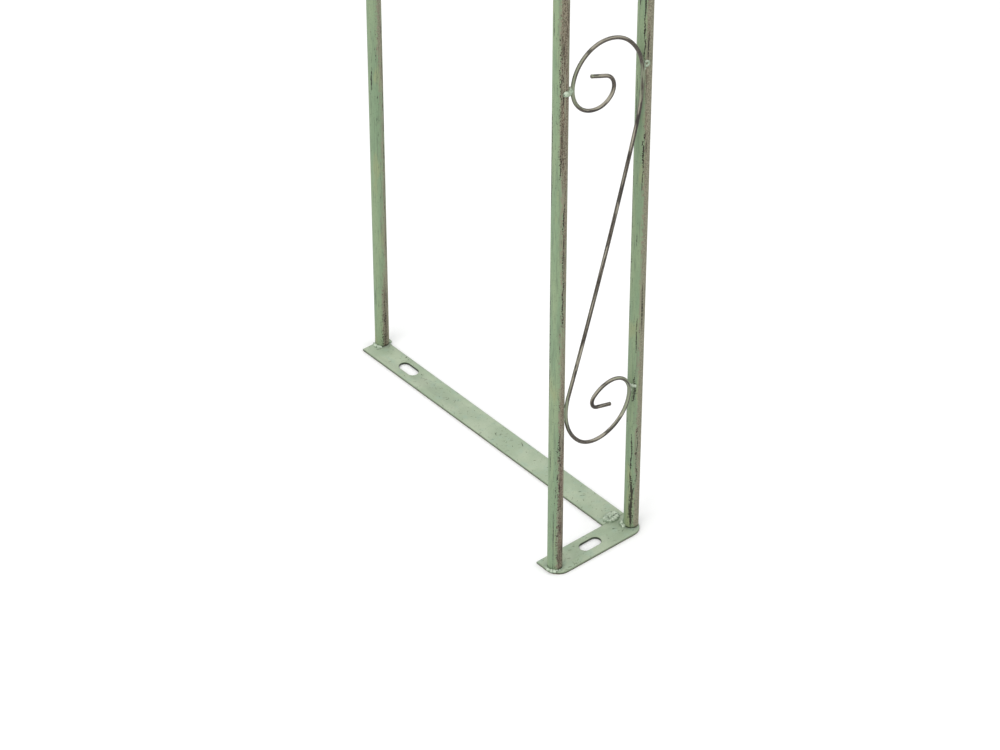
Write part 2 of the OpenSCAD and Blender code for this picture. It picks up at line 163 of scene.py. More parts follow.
class Shader:
    """A material's node tree, with a method for each kind of node that the materials use."""

    def __init__(self, name):
        self.material = bpy.data.materials.new(name)
        self.material.use_nodes = True
        self.tree = self.material.node_tree
        self.surface = self.tree.nodes["Principled BSDF"]

    def node(self, kind, inputs=(), **settings):
        made = self.tree.nodes.new(kind)
        for key, value in settings.items():
            setattr(made, key, value)
        for key, value in dict(inputs).items():
            self.feed(made.inputs[key], value)
        return made

    def feed(self, socket, value):
        """Links an output to a socket, or sets the socket to a constant."""
        if isinstance(value, bpy.types.NodeSocket):
            self.tree.links.new(value, socket)
        else:
            socket.default_value = value

    def attribute(self, name, output="Vector"):
        return self.node("ShaderNodeAttribute", attribute_name=name).outputs[output]

    def place(self):
        return self.node("ShaderNodeTexCoord").outputs["Object"]

    def stretch(self, vector, scale, shift=(0, 0, 0)):
        made = self.node("ShaderNodeVectorMath", operation="MULTIPLY_ADD")
        self.tree.links.new(vector, made.inputs[0])
        made.inputs[1].default_value = scale
        made.inputs[2].default_value = shift
        return made.outputs[0]

    def turn(self, vector, angle):
        return self.node(
            "ShaderNodeVectorRotate",
            {"Vector": vector, "Angle": math.radians(angle)},
            rotation_type="Z_AXIS",
        ).outputs["Vector"]

    def along(self, vector, direction):
        made = self.node("ShaderNodeVectorMath", operation="DOT_PRODUCT")
        self.tree.links.new(vector, made.inputs[0])
        made.inputs[1].default_value = direction
        return made.outputs["Value"]

    def away(self, vector, point):
        made = self.node("ShaderNodeVectorMath", operation="DISTANCE")
        self.tree.links.new(vector, made.inputs[0])
        made.inputs[1].default_value = point
        return made.outputs["Value"]

    def noise(self, vector, detail=3.0, roughness=0.55):
        return self.node(
            "ShaderNodeTexNoise",
            {"Vector": vector, "Scale": 1.0, "Detail": detail, "Roughness": roughness},
        ).outputs["Fac"]

    def math(self, operation, first, second=0.0, third=0.0):
        made = self.node("ShaderNodeMath", operation=operation)
        for socket, value in zip(made.inputs, (first, second, third)):
            self.feed(socket, value)
        return made.outputs[0]

    def step(self, value, low, high, out_low=0.0, out_high=1.0):
        """A smooth change from one number to another as the value goes from low to high."""
        ends = {"From Min": low, "From Max": high, "To Min": out_low, "To Max": out_high}
        return self.node(
            "ShaderNodeMapRange", {"Value": value, **ends}, interpolation_type="SMOOTHSTEP"
        ).outputs["Result"]

    def mix(self, factor, first, second):
        made = self.node("ShaderNodeMix", data_type="RGBA")
        for socket, value in zip(MIX_COLOUR_INPUTS, (factor, first, second)):
            self.feed(made.inputs[socket], value)
        return made.outputs[MIX_COLOUR_OUTPUT]

    def finish(self, colour, roughness, bump=None, bump_distance=0.1 * MM, **constants):
        self.tree.links.new(colour, self.surface.inputs["Base Color"])
        self.tree.links.new(roughness, self.surface.inputs["Roughness"])
        if bump is not None:
            depth = {"Height": bump, "Distance": bump_distance, "Strength": 1.0}
            made = self.node("ShaderNodeBump", depth)
            self.tree.links.new(made.outputs["Normal"], self.surface.inputs["Normal"])
        for key, value in constants.items():
            self.surface.inputs[key.replace("_", " ")].default_value = value
        return self.material


def tube_paint():
    """Sage paint over a dark base, rubbed through to brown flecks along one side of the tube."""
    s = Shader("tube_paint")
    straight = s.attribute("straight")
    worn_edge = s.attribute("worn_edge", "Fac")
    dark = s.attribute("dark", "Fac")
    pale = s.attribute("pale", "Fac")

    def seen(*colour):
        return srgb(*colour, TUBE_GAIN)

    def across(bearing):
        angle = math.radians(bearing)
        return s.along(straight, (math.cos(angle) / TUBE_R, math.sin(angle) / TUBE_R, 0))

    broad = s.noise(s.stretch(straight, (90, 90, 9)), 2)
    patches = s.noise(s.stretch(straight, (60, 60, 16), (3, 7, 1)), 2)
    streaks = s.noise(s.stretch(straight, (520, 520, 20), (9, 2, 5)), 3)
    hairs = s.noise(s.stretch(straight, (1000, 1000, 60), (4, 8, 2)), 2)
    flecks = s.noise(s.stretch(straight, (620, 620, 560), (1, 5, 3)), 2, 0.65)
    specks = s.noise(s.stretch(straight, (700, 700, 420), (6, 1, 8)), 1)
    cracks = s.noise(s.stretch(straight, (300, 300, 12), (2, 6, 4)), 1)

    green = s.mix(s.step(broad, 0.40, 0.60), seen(136, 160, 127), seen(148, 168, 132))
    green = s.mix(s.step(patches, 0.54, 0.66), green, seen(152, 165, 126))
    green = s.mix(s.step(streaks, 0.54, 0.66, 0, 0.6), green, seen(116, 136, 110))
    green = s.mix(s.step(hairs, 0.56, 0.68, 0, 0.5), green, seen(104, 120, 96))
    green = s.mix(s.step(flecks, 0.54, 0.68, 0, 0.35), green, seen(112, 126, 100))

    base = s.mix(s.step(patches, 0.44, 0.56), seen(88, 78, 64), seen(96, 74, 64))
    brown = s.mix(s.step(flecks, 0.43, 0.54), base, seen(146, 138, 118))
    brown = s.mix(s.step(streaks, 0.48, 0.60, 0, 0.75), brown, seen(150, 150, 128))
    brown = s.mix(s.step(hairs, 0.56, 0.66, 0, 0.8), brown, seen(62, 50, 42))
    beige = s.mix(s.step(flecks, 0.42, 0.58), seen(122, 118, 98), seen(156, 154, 132))
    beige = s.mix(s.step(streaks, 0.55, 0.65, 0, 0.6), beige, seen(118, 126, 102))
    rim = s.math("MULTIPLY_ADD", s.math("SUBTRACT", broad, 0.5), 0.9, across(BEIGE_BEARING))
    rim = s.math("MULTIPLY_ADD", s.math("SUBTRACT", streaks, 0.5), 1.4, rim)
    rim = s.math("ADD", rim, pale)
    worn_colour = s.mix(s.step(rim, 0.72, 1.0), brown, beige)

    ragged = s.math("MULTIPLY_ADD", s.math("SUBTRACT", broad, 0.5), 0.5, across(WORN_BEARING))
    ragged = s.math("MULTIPLY_ADD", s.math("SUBTRACT", streaks, 0.5), 0.6, ragged)
    ragged = s.math("MULTIPLY_ADD", s.math("SUBTRACT", flecks, 0.5), 1.0, ragged)
    depth = s.math("SUBTRACT", ragged, worn_edge)
    colour = s.mix(s.step(depth, -0.24, 0.0, 0, 0.4), green, seen(138, 146, 120))
    worn = s.step(depth, 0.0, 0.06)
    colour = s.mix(worn, colour, worn_colour)

    # Black streaks: the marked ones, scattered cracks, and painted shade where a post meets its bar.
    height = s.along(s.place(), (0, 0, 1 / MM))
    streak = s.math("MAXIMUM", dark, s.step(cracks, 0.66, 0.74, 0, 0.8))
    streak = s.math("MULTIPLY_ADD", s.math("SUBTRACT", flecks, 0.5), 2.0, streak)
    streak = s.math("MULTIPLY_ADD", s.math("SUBTRACT", hairs, 0.5), 1.4, streak)
    marks_and_foot_shade = s.step(streak, 0.50, 0.64, 0, 0.92)
    # Painted contact shade: a dark band just above the bar's top, round the foot of every tube.
    marks_and_foot_shade = s.math("MAXIMUM", marks_and_foot_shade, s.step(height, 3.6, 5.0, 0.9, 0))
    marks_and_foot_shade = s.math("MAXIMUM", marks_and_foot_shade, s.step(specks, 0.74, 0.78, 0, 0.85))
    colour = s.mix(marks_and_foot_shade, colour, seen(44, 38, 32))

    relief = s.math("MULTIPLY_ADD", worn, -0.5, s.math("MULTIPLY", flecks, 0.6))
    relief = s.math("MULTIPLY_ADD", marks_and_foot_shade, -0.8, relief)
    roughness = s.step(worn, 0, 1, 0.58, 0.75)
    return s.finish(colour, roughness, relief, 0.15 * MM, Specular_IOR_Level=0.25)


def bar_paint():
    """Paler paint on the foot bars with short dark scratches, and painted shade on narrow sides and
    round posts.
    """
    s = Shader("bar_paint")
    place = s.place()
    wall = s.attribute("wall", "Fac")

    def seen(*colour):
        return srgb(*colour, BAR_GAIN)

    broad = s.noise(s.stretch(place, (26, 26, 26)), 3)
    cloud = s.noise(s.stretch(place, (90, 90, 90), (5, 2, 0)), 3)
    grain = s.noise(s.stretch(place, (700, 700, 700), (1, 7, 4)), 2, 0.7)
    colour = s.mix(s.step(broad, 0.40, 0.60), seen(160, 176, 150), seen(174, 187, 162))
    colour = s.mix(s.step(cloud, 0.52, 0.68, 0, 0.5), colour, seen(158, 180, 160))
    colour = s.mix(s.step(grain, 0.54, 0.72, 0, 0.35), colour, seen(136, 150, 126))

    scratches = None
    for angle, shift, low in ((25, 2, 0.72), (118, 9, 0.735), (150, 4, 0.74)):
        stretched = s.stretch(s.turn(place, angle), (110, 900, 200), (shift, shift, shift))
        line = s.step(s.noise(stretched, 1), low, low + 0.03)
        scratches = line if scratches is None else s.math("MAXIMUM", scratches, line)
    specks = s.step(s.noise(s.stretch(place, (420, 420, 420), (8, 3, 1)), 1), 0.76, 0.80)
    scratches = s.math("MAXIMUM", scratches, specks)
    colour = s.mix(scratches, colour, seen(66, 72, 56))

    # Painted contact shade, with some grime: a ragged darker ring on the bar round each post's foot.
    foot_shade_and_grime = None
    for x in (-INNER_X, -OUTER_X, INNER_X, OUTER_X):
        posts = ((x, FRONT_Y),) if abs(x) > INNER_X + MM else ((x, FRONT_Y), (x, BACK_Y))
        for post in posts:
            near = s.away(place, (*post, BAR_T))
            ragged = s.math("MULTIPLY_ADD", cloud, 8 * MM, near)
            ring = s.step(ragged, 12 * MM, 17 * MM, 1, 0)
            foot_shade_and_grime = ring if foot_shade_and_grime is None else s.math("MAXIMUM", foot_shade_and_grime, ring)
    colour = s.mix(s.math("MULTIPLY", foot_shade_and_grime, 0.35), colour, seen(112, 126, 116))

    # The narrow sides: painted shade in green under the top edge, a ragged dark line, a beige foot.
    level = s.along(place, (0, 0, 1 / BAR_T))
    # Painted shade: the narrow sides are a darker green than the lit top.
    colour = s.mix(s.step(level, 0.98, 0.92), colour, seen(126, 142, 116))
    level = s.math("MULTIPLY_ADD", s.math("SUBTRACT", cloud, 0.5), 0.7, level)
    # Painted contact shadow: the ragged dark line low on the narrow sides.
    colour = s.mix(s.step(level, 0.62, 0.50), colour, seen(50, 50, 40))
    colour = s.mix(s.step(level, 0.26, 0.16), colour, seen(146, 140, 118))
    # Painted shade on the slot's wall, with a ragged edge.
    inner = s.math("MULTIPLY_ADD", s.math("SUBTRACT", cloud, 0.5), 1.2, wall)
    colour = s.mix(s.step(inner, 0.45, 0.75), colour, seen(58, 66, 52))
    relief = s.math("MULTIPLY_ADD", scratches, -0.7, s.math("MULTIPLY", grain, 0.4))
    roughness = s.step(grain, 0.3, 0.7, 0.45, 0.6)
    return s.finish(colour, roughness, relief, 0.12 * MM, Specular_IOR_Level=0.3)


def wire_paint():
    """Dark brown wire, a painted highlight and rub on its lit side, black patches, green overspray by
    welds.
    """
    s = Shader("wire_paint")
    straight = s.attribute("straight")
    green = s.attribute("green", "Fac")

    def seen(*colour):
        return srgb(*colour, TUBE_GAIN)

    patches = s.noise(s.stretch(straight, (230, 230, 40)), 2)
    rub_and_sheen_noise = s.noise(s.stretch(straight, (600, 600, 26), (5, 1, 2)), 3)
    grain = s.noise(s.stretch(straight, (900, 900, 500), (2, 2, 9)), 2, 0.7)
    top = s.along(s.node("ShaderNodeNewGeometry").outputs["Normal"], LIT_SIDE_WAY)
    colour = s.mix(s.step(grain, 0.42, 0.60), seen(58, 50, 44), seen(92, 84, 72))
    # Painted highlight mixed with rubbed wear: pale where the wire faces the key light.
    highlight_and_rub = s.math("MULTIPLY_ADD", s.math("SUBTRACT", rub_and_sheen_noise, 0.5), 1.8, top)
    colour = s.mix(s.step(highlight_and_rub, 0.55, 0.90, 0, 0.9), colour, seen(182, 176, 158))
    colour = s.mix(s.step(patches, 0.54, 0.62, 0, 0.85), colour, seen(40, 34, 30))
    # Green overspray near the welds, pushed towards the lit side as painted light.
    wash = s.math("MULTIPLY_ADD", s.math("SUBTRACT", rub_and_sheen_noise, 0.5), 2.2, green)
    wash = s.math("MULTIPLY_ADD", s.math("SUBTRACT", top, 0.5), 0.5, wash)
    colour = s.mix(s.step(wash, 0.50, 0.80, 0, 0.8), colour, seen(146, 156, 128))
    relief = s.math("MULTIPLY_ADD", patches, 0.6, s.math("MULTIPLY", grain, 0.5))
    roughness = s.step(rub_and_sheen_noise, 0.3, 0.7, 0.40, 0.55)
    return s.finish(colour, roughness, relief, 0.1 * MM, Specular_IOR_Level=0.35)


def weld_paint():
    """Pale green paint pooled on weld metal, thin and dark in the pits; painted highlight and shade.
    """
    s = Shader("weld_paint")
    place = s.place()

    def seen(*colour):
        return srgb(*colour, WELD_GAIN)

    cloud = s.noise(s.stretch(place, (240, 240, 240)), 3)
    pits = s.noise(s.stretch(place, (520, 520, 520), (3, 1, 6)), 2)
    top = s.along(s.node("ShaderNodeNewGeometry").outputs["Normal"], LIT_SIDE_WAY)
    painted_crest_highlight = s.math("MULTIPLY_ADD", s.math("SUBTRACT", cloud, 0.5), 1.2, top)
    colour = s.mix(s.step(cloud, 0.40, 0.60), seen(142, 160, 136), seen(162, 178, 154))
    # Painted highlight on the crests that face the key light.
    colour = s.mix(s.step(painted_crest_highlight, 0.62, 0.95), colour, seen(190, 203, 182))
    # Painted shade on the side turned away from the key light, down towards the bar.
    colour = s.mix(s.step(top, 0.12, -0.15, 0, 0.7), colour, seen(92, 104, 84))
    colour = s.mix(s.step(pits, 0.57, 0.68), colour, seen(62, 72, 56))
    roughness = s.step(cloud, 0.3, 0.7, 0.35, 0.5)
    return s.finish(colour, roughness, pits, 0.25 * MM, Specular_IOR_Level=0.4)


def zinc(name, tint):
    """Bright zinc plate, slightly cloudy."""
    s = Shader(name)
    place = s.place()
    cloud = s.noise(s.stretch(place, (180, 180, 180)), 3)
    grain = s.noise(s.stretch(place, (1800, 1800, 1800), (1, 2, 3)), 2)
    bright = [min(255, c + 22) for c in tint]
    colour = s.mix(s.step(cloud, 0.35, 0.65), srgb(*tint), srgb(*bright))
    return s.finish(colour, s.step(cloud, 0.3, 0.7, 0.28, 0.42), grain, 0.02 * MM, Metallic=1.0)


TUBE_PAINT = tube_paint()
BAR_PAINT = bar_paint()
WIRE_PAINT = wire_paint()
WELD_PAINT = weld_paint()
ZINC = zinc("zinc_fasteners", (186, 190, 196))
INSERT_STEEL = zinc("insert_steel", (150, 152, 156))


# Meshes


def add_piece(name, mesh, material):
    """Puts a mesh in the scene in place of the CAD node of the same name."""
    mesh.materials.append(material)
    for polygon in mesh.polygons:
        polygon.use_smooth = True
    piece = bpy.data.objects.new(name + "_shape", mesh)
    bpy.context.scene.collection.objects.link(piece)
    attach(piece, "root")
    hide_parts(name)
    return piece


def mesh_of(name, points, faces, **attributes):
    mesh = bpy.data.meshes.new(name)
    mesh.from_pydata(points, [], faces)
    for key, values in attributes.items():
        kind, field = ("FLOAT_VECTOR", "vector") if np.ndim(values) == 2 else ("FLOAT", "value")
        made = mesh.attributes.new(key, kind, "POINT")
        made.data.foreach_set(field, np.ravel(values).astype(np.float32))
    mesh.update()
    return mesh


def bends(steps, start, heading, spacing):
    """Points every spacing or less along straights and bends in a plane, as (x, z, heading)."""
    x, z = start
    points = [(x, z, heading)]
    for size, turn in steps:
        length = size if turn == 0 else size * math.radians(abs(turn))
        count = max(1, math.ceil(length / spacing))
        x0, z0, h0 = points[-1]
        for i in range(1, count + 1):
            share = i / count
            if turn == 0:
                points.append((
                    x0 + share * size * math.cos(math.radians(h0)),
                    z0 + share * size * math.sin(math.radians(h0)),
                    h0,
                ))
                continue
            side = math.copysign(1, turn)
            a, b = math.radians(h0), math.radians(h0 + share * turn)
            points.append((
                x0 + side * size * (math.sin(b) - math.sin(a)),
                z0 + side * size * (math.cos(a) - math.cos(b)),
                h0 + share * turn,
            ))
    return points


def line_in_xz(points, y):
    """A centre line from points in an upright plane, as (place, direction)."""
    return [
        (
            Vector((x, y, z)),
            Vector((math.cos(math.radians(heading)), 0, math.sin(math.radians(heading)))),
        )
        for x, z, heading in points
    ]


def lengths_along(line):
    gaps = [(line[i + 1][0] - line[i][0]).length for i in range(len(line) - 1)]
    return np.concatenate([[0.0], np.cumsum(gaps)])


def sweep(line, level, stations, around, start, closed):
    """Rings round a centre line. A station is (index on the line, radius, shift along it); level is
    the direction across the line's plane. Returns points, faces and each point's place on the tube
    laid straight, whose near end is at start."""
    angles = np.linspace(0, 2 * math.pi, around, endpoint=False)
    cosines, sines = np.cos(angles), np.sin(angles)
    lengths = lengths_along(line)
    level = np.array(level, float)
    points, straight = [], []
    for index, radius, shift in stations:
        place, way = line[index]
        way = np.array(way)
        across = np.cross(level, way)
        centre = np.array(place) + way * shift
        points.append(centre + radius * (np.outer(cosines, across) + np.outer(sines, level)))
        along = np.full(around, start + lengths[index] + shift)
        straight.append(np.stack([radius * cosines, radius * sines, along], axis=1))
    count = len(stations)
    faces = []
    for i in range(count if closed else count - 1):
        a, b = i * around, (i + 1) % count * around
        for j in range(around):
            k = (j + 1) % around
            faces.append((a + j, a + k, b + k, b + j))
    if not closed:
        faces.append(tuple(reversed(range(around))))
        faces.append(tuple(range((count - 1) * around, count * around)))
    return np.concatenate(points), faces, np.concatenate(straight)


EDGE = 0.35 * MM


def tube_stations(count, straight_bore):
    """The outside with softened ends and then the bore, back to the start. A straight bore needs
    no rings between its ends."""
    last = count - 1
    outside = [(0, TUBE_R - EDGE, 0.0), (0, TUBE_R, EDGE)]
    outside += [(i, TUBE_R, 0.0) for i in range(1, last)]
    outside += [(last, TUBE_R, -EDGE), (last, TUBE_R - EDGE, 0.0)]
    inside = [(i, BORE_R, 0.0) for i in ((last, 0) if straight_bore else range(last, -1, -1))]
    return outside + inside


def rod_stations(count, radius, edge):
    last = count - 1
    return (
        [(0, radius - edge, 0.0), (0, radius, edge)]
        + [(i, radius, 0.0) for i in range(1, last)]
        + [(last, radius, -edge), (last, radius - edge, 0.0)]
    )


def mirrored(points, side):
    """The left half's points, or their mirror images."""
    points = np.array(points)
    return points * (-1, 1, 1) if side == "right" else points


def turned(faces, side):
    return [tuple(reversed(f)) for f in faces] if side == "right" else faces


# How far the paint is rubbed off each post: (height, half the worn angle) from the ground up.
WORN_WIDTHS = {
    "outer_front": (
        (0.0, 47), (0.15, 49), (0.22, 38), (0.30, 34), (0.38, 30), (0.48, 40), (0.52, 58),
        (0.75, 56), (1.1, 48), (1.69, 50),
    ),
    "inner_front": (
        (0.0, 38), (0.18, 40), (0.30, 36), (0.42, 44), (0.55, 48), (0.80, 44), (1.69, 46),
    ),
    "back": (
        (0.0, 44), (0.08, 42), (0.11, 22), (0.27, 20), (0.34, 27), (0.46, 32), (0.90, 40),
        (1.69, 34),
    ),
}
# Dark marks on the posts: bearing, lowest and highest point, half width in millimetres, strength.
DARK_MARKS = {
    "outer_front": (
        (160, 0.46, 0.57, 1.3, 0.80), (160, 0.22, 0.38, 1.1, 0.72),
        (264, 0.31, 0.47, 0.9, 0.85), (240, 0.49, 0.66, 4.0, 0.46),
        (258, 0.01, 0.18, 5.0, 0.48), (296, 0.0, 0.09, 0.9, 0.85),
    ),
    "inner_front": (
        (221, 0.008, 0.070, 2.4, 0.95), (213, 0.06, 0.13, 0.9, 0.95),
        (232, 0.005, 0.060, 1.5, 0.70), (239, 0.46, 0.50, 1.3, 0.90),
        (225, 0.58, 0.80, 0.8, 1.0), (160, 0.32, 0.46, 1.0, 0.62),
        (221, 0.17, 0.205, 1.8, 0.80), (255, 0.06, 0.14, 1.5, 0.55),
    ),
    "back": (
        (262, 0.0, 0.085, 4.5, 0.52), (200, 0.345, 0.375, 0.9, 0.95),
        (238, 0.27, 0.60, 0.6, 0.42), (298, 0.28, 0.43, 0.9, 0.85),
        (292, 0.12, 0.28, 1.2, 0.60),
    ),
}
MARK_FADE = 0.02
# How far the worn side of each post is beige instead of brown.
PALE_WEAR = {"outer_front": 0.0, "inner_front": 0.55, "back": 0.35}
# The right leg takes its wear from this much higher up, so that the legs differ.
RIGHT_MARK_SHIFT = 0.45
ARCH_WORN_HALF_ANGLE = 44
UPPER_PALE = 0.3

# Where each tube's paint pattern starts along the tube laid straight, so that neighbours differ.
POST_PATTERN_START = 0.0
ARCH_PATTERN_START = 40.0
RUNG_PATTERN_START = 80.0
WIRE_PATTERN_START = 100.0
TUBE_PATTERN_STEP = 5.0
WIRE_PATTERN_STEP = 2.0
TUBE_SIDE_STEP = {"left": 0.0, "right": 20.0}
THIN_SIDE_STEP = {"left": 0.0, "right": 10.0}


def post_wear(kind, side, straight, start):
    """Each point's edge of the worn side, how dark its marks are and how beige its wear is."""
    widths = WORN_WIDTHS[kind]
    height = straight[:, 2] - start + BAR_T
    bearing = np.degrees(np.arctan2(straight[:, 1], straight[:, 0])) % 360
    if side == "right":
        height = (height + RIGHT_MARK_SHIFT) % JOINT_Z
    half = np.interp(height, [h for h, _ in widths], [w for _, w in widths])
    dark = np.zeros(len(straight))
    for at, low, high, width, strength in DARK_MARKS[kind]:
        wander = 0.5 * MM * np.sin(height * 140 + at) + 0.3 * MM * np.sin(height * 330 + 2 * at)
        off = np.radians(bearing - at) * TUBE_R - wander
        ends = np.clip(np.minimum(height - low, high - height) / MARK_FADE + 0.5, 0, 1)
        dark = np.maximum(dark, strength * ends * np.exp(-((off / (width * MM)) ** 2)))
    pale = np.full(len(dark), PALE_WEAR[kind])
    return {"worn_edge": np.cos(np.radians(half)), "dark": dark, "pale": pale}


def even_wear(count, worn_edge):
    """The wear of a tube without marks."""
    return {
        "worn_edge": np.full(count, worn_edge),
        "dark": np.zeros(count),
        "pale": np.full(count, UPPER_PALE),
    }


POSTS = {
    "outer_front": (-OUTER_X, FRONT_Y),
    "inner_front": (-INNER_X, FRONT_Y),
    "back": (-INNER_X, BACK_Y),
}
POST_RING_GAP = 4 * MM
TUBE_AROUND = 64


def tube_piece(name, shape, side, wear):
    """A painted tube or group of rods from points, faces and straight places of the left half."""
    points, faces, straight = shape
    mesh = mesh_of(name, mirrored(points, side), turned(faces, side), straight=straight, **wear)
    add_piece(name, mesh, TUBE_PAINT)


def make_posts():
    for number, (kind, (x, y)) in enumerate(POSTS.items()):
        count = math.ceil((JOINT_Z - BAR_T) / POST_RING_GAP) + 1
        heights = np.linspace(BAR_T, JOINT_Z, count)
        line = [(Vector((x, y, z)), Vector((0, 0, 1))) for z in heights]
        for side in SIDES:
            start = POST_PATTERN_START + TUBE_PATTERN_STEP * number + TUBE_SIDE_STEP[side]
            stations = tube_stations(count, True)
            shape = sweep(line, (0, 1, 0), stations, TUBE_AROUND, start, True)
            tube_piece(f"{side}_{kind}_post", shape, side, post_wear(kind, side, shape[2], start))


ARCHES = {
    "outer_front": (OUTER_X, FRONT_Y),
    "inner_front": (INNER_X, FRONT_Y),
    "back": (INNER_X, BACK_Y),
}
ARCH_RING_GAP = 6 * MM


def make_arches():
    for number, (kind, (radius, y)) in enumerate(ARCHES.items()):
        steps = ((SPRING_Z - JOINT_Z, 0), (radius, -90))
        line = line_in_xz(bends(steps, (-radius, JOINT_Z), 90, ARCH_RING_GAP), y)
        for side in SIDES:
            start = ARCH_PATTERN_START + TUBE_PATTERN_STEP * number + TUBE_SIDE_STEP[side]
            stations = tube_stations(len(line), False)
            shape = sweep(line, (0, 1, 0), stations, TUBE_AROUND, start, True)
            worn_edge = math.cos(math.radians(ARCH_WORN_HALF_ANGLE))
            tube_piece(f"{side}_{kind}_arch", shape, side, even_wear(len(shape[0]), worn_edge))


def join_shapes(shapes):
    """One list of points, one of faces and one of straight places from several."""
    points, faces, straight, base = [], [], [], 0
    for shape in shapes:
        points.append(shape[0])
        straight.append(shape[2])
        faces += [tuple(base + i for i in f) for f in shape[1]]
        base += len(shape[0])
    return np.concatenate(points), faces, np.concatenate(straight)


# A rung's ends are this far from the tubes' axes, just inside their bores.
RUNG_END_INSET = 6.5 * MM
RUNG_RINGS = 60
RUNG_AROUND = 32
RUNG_EDGE = 0.2 * MM
# High enough that no side of a rung is rubbed bare.
RUNG_WORN_EDGE = 1.0


def make_rungs():
    ys = np.linspace(FRONT_Y + RUNG_END_INSET, BACK_Y - RUNG_END_INSET, RUNG_RINGS)
    stations = rod_stations(RUNG_RINGS, RUNG_R, RUNG_EDGE)
    for kind, places in (("side_rungs", SIDE_RUNG_PLACES), ("roof_rungs", ROOF_RUNG_PLACES)):
        for side in SIDES:
            shapes = []
            for n, (x, z) in enumerate(places):
                line = [(Vector((x, y, z)), Vector((0, 1, 0))) for y in ys]
                start = RUNG_PATTERN_START + n + THIN_SIDE_STEP[side]
                shapes.append(sweep(line, (0, 0, 1), stations, RUNG_AROUND, start, False))
            shape = join_shapes(shapes)
            wear = even_wear(len(shape[0]), RUNG_WORN_EDGE)
            tube_piece(f"{side}_{kind}", shape, side, wear)


WIRE_AROUND = 24
WIRE_EDGE = 0.25 * MM
WIRE_RING_GAP = 1.6
OVERSPRAY_REACH = 45 * MM


def wire_piece(name, line, side, start, welds):
    """A scroll of wire, with green overspray within a few centimetres of its welds."""
    stations = rod_stations(len(line), WIRE_R, WIRE_EDGE)
    points, faces, straight = sweep(line, (0, 1, 0), stations, WIRE_AROUND, start, False)
    green = np.zeros(len(points))
    for weld in welds:
        gap = np.linalg.norm(points - np.array(weld), axis=1)
        green = np.maximum(green, 1 - gap / OVERSPRAY_REACH)
    faces = turned(faces, side)
    mesh = mesh_of(name, mirrored(points, side), faces, straight=straight, green=green)
    add_piece(name, mesh, WIRE_PAINT)


def leg_scroll_line(number):
    """A scroll's centre line on the left leg."""
    middle_z = FIRST_SCROLL_Z + number * SCROLL_PITCH
    made = bends(LEG_SCROLL, LEG_SCROLL_START, LEG_SCROLL_HEADING, WIRE_RING_GAP)
    points = [(-MIDDLE_R + x * MM, middle_z + z * MM, heading) for x, z, heading in made]
    return line_in_xz(points, FRONT_Y + WIRE_Y)


def leg_scroll_welds(number):
    """The four places where a leg scroll touches the posts, and the posts' axes there."""
    middle_z = FIRST_SCROLL_Z + number * SCROLL_PITCH
    places = []
    for steps, post_x in zip(WELDED_STEPS, (-OUTER_X, -INNER_X, -OUTER_X, -INNER_X)):
        route = bends(LEG_SCROLL[:steps], LEG_SCROLL_START, LEG_SCROLL_HEADING, math.inf)
        x, z, _ = route[-1]
        wire = Vector((-MIDDLE_R + x * MM, FRONT_Y + WIRE_Y, middle_z + z * MM))
        places.append((wire, Vector((post_x, FRONT_Y, wire.z))))
    return places


def arch_scroll_line(angle):
    """An arch scroll's centre line on the left half, from one free end to the other."""
    reach = MIDDLE_R * math.cos(ARCH_HALF_ANGLE)
    half = bends(HALF_ARCH_SCROLL, (0, 0), 90 - ARCH_LEAN, WIRE_RING_GAP)
    back = [(-x, -z, heading) for x, z, heading in reversed(half[1:])]
    tilt = math.radians(-angle)
    centre = (-reach * math.cos(tilt), SPRING_Z - reach * math.sin(tilt))
    points = [
        (
            centre[0] + (x * math.cos(tilt) - z * math.sin(tilt)) * MM,
            centre[1] + (x * math.sin(tilt) + z * math.cos(tilt)) * MM,
            heading - angle,
        )
        for x, z, heading in back + half
    ]
    return line_in_xz(points, FRONT_Y + WIRE_Y)


def arch_scroll_welds(angle):
    """Where an arch scroll's two loops touch the arches, and the arches' axes there."""
    places = []
    for end in (-1, 1):
        a = math.radians(angle) + end * ARCH_HALF_ANGLE
        for sign, radius in ((1, OUTER_X), (-1, INNER_X)):
            touch = MIDDLE_R + sign * ARCH_LOOP_R * MM
            wire = Vector((-touch * math.cos(a), FRONT_Y + WIRE_Y, SPRING_Z + touch * math.sin(a)))
            tube = Vector((-radius * math.cos(a), FRONT_Y, SPRING_Z + radius * math.sin(a)))
            places.append((wire, tube))
    return places


def make_scrolls():
    scrolls = []
    for n, kind in enumerate(LEG_SCROLLS):
        scrolls.append((kind, leg_scroll_line(n), leg_scroll_welds(n)))
    for kind, angle in ARCH_SCROLLS.items():
        scrolls.append((kind, arch_scroll_line(angle), arch_scroll_welds(angle)))
    for side in SIDES:
        for number, (kind, line, welds) in enumerate(scrolls):
            start = WIRE_PATTERN_START + WIRE_PATTERN_STEP * number + THIN_SIDE_STEP[side]
            wire_piece(f"{side}_{kind}", line, side, start, [wire for wire, _ in welds])


# Foot bars

BAR_EDGE = 0.5 * MM
BAR_SHARP_ANGLE = math.radians(50)
CORNER_STEPS = 14


def corner_points(centre, radius, first):
    """A quarter circle from a bearing on, anticlockwise."""
    angles = [math.radians(first + 90 * i / CORNER_STEPS) for i in range(CORNER_STEPS + 1)]
    return [(centre[0] + radius * math.cos(a), centre[1] + radius * math.sin(a)) for a in angles]


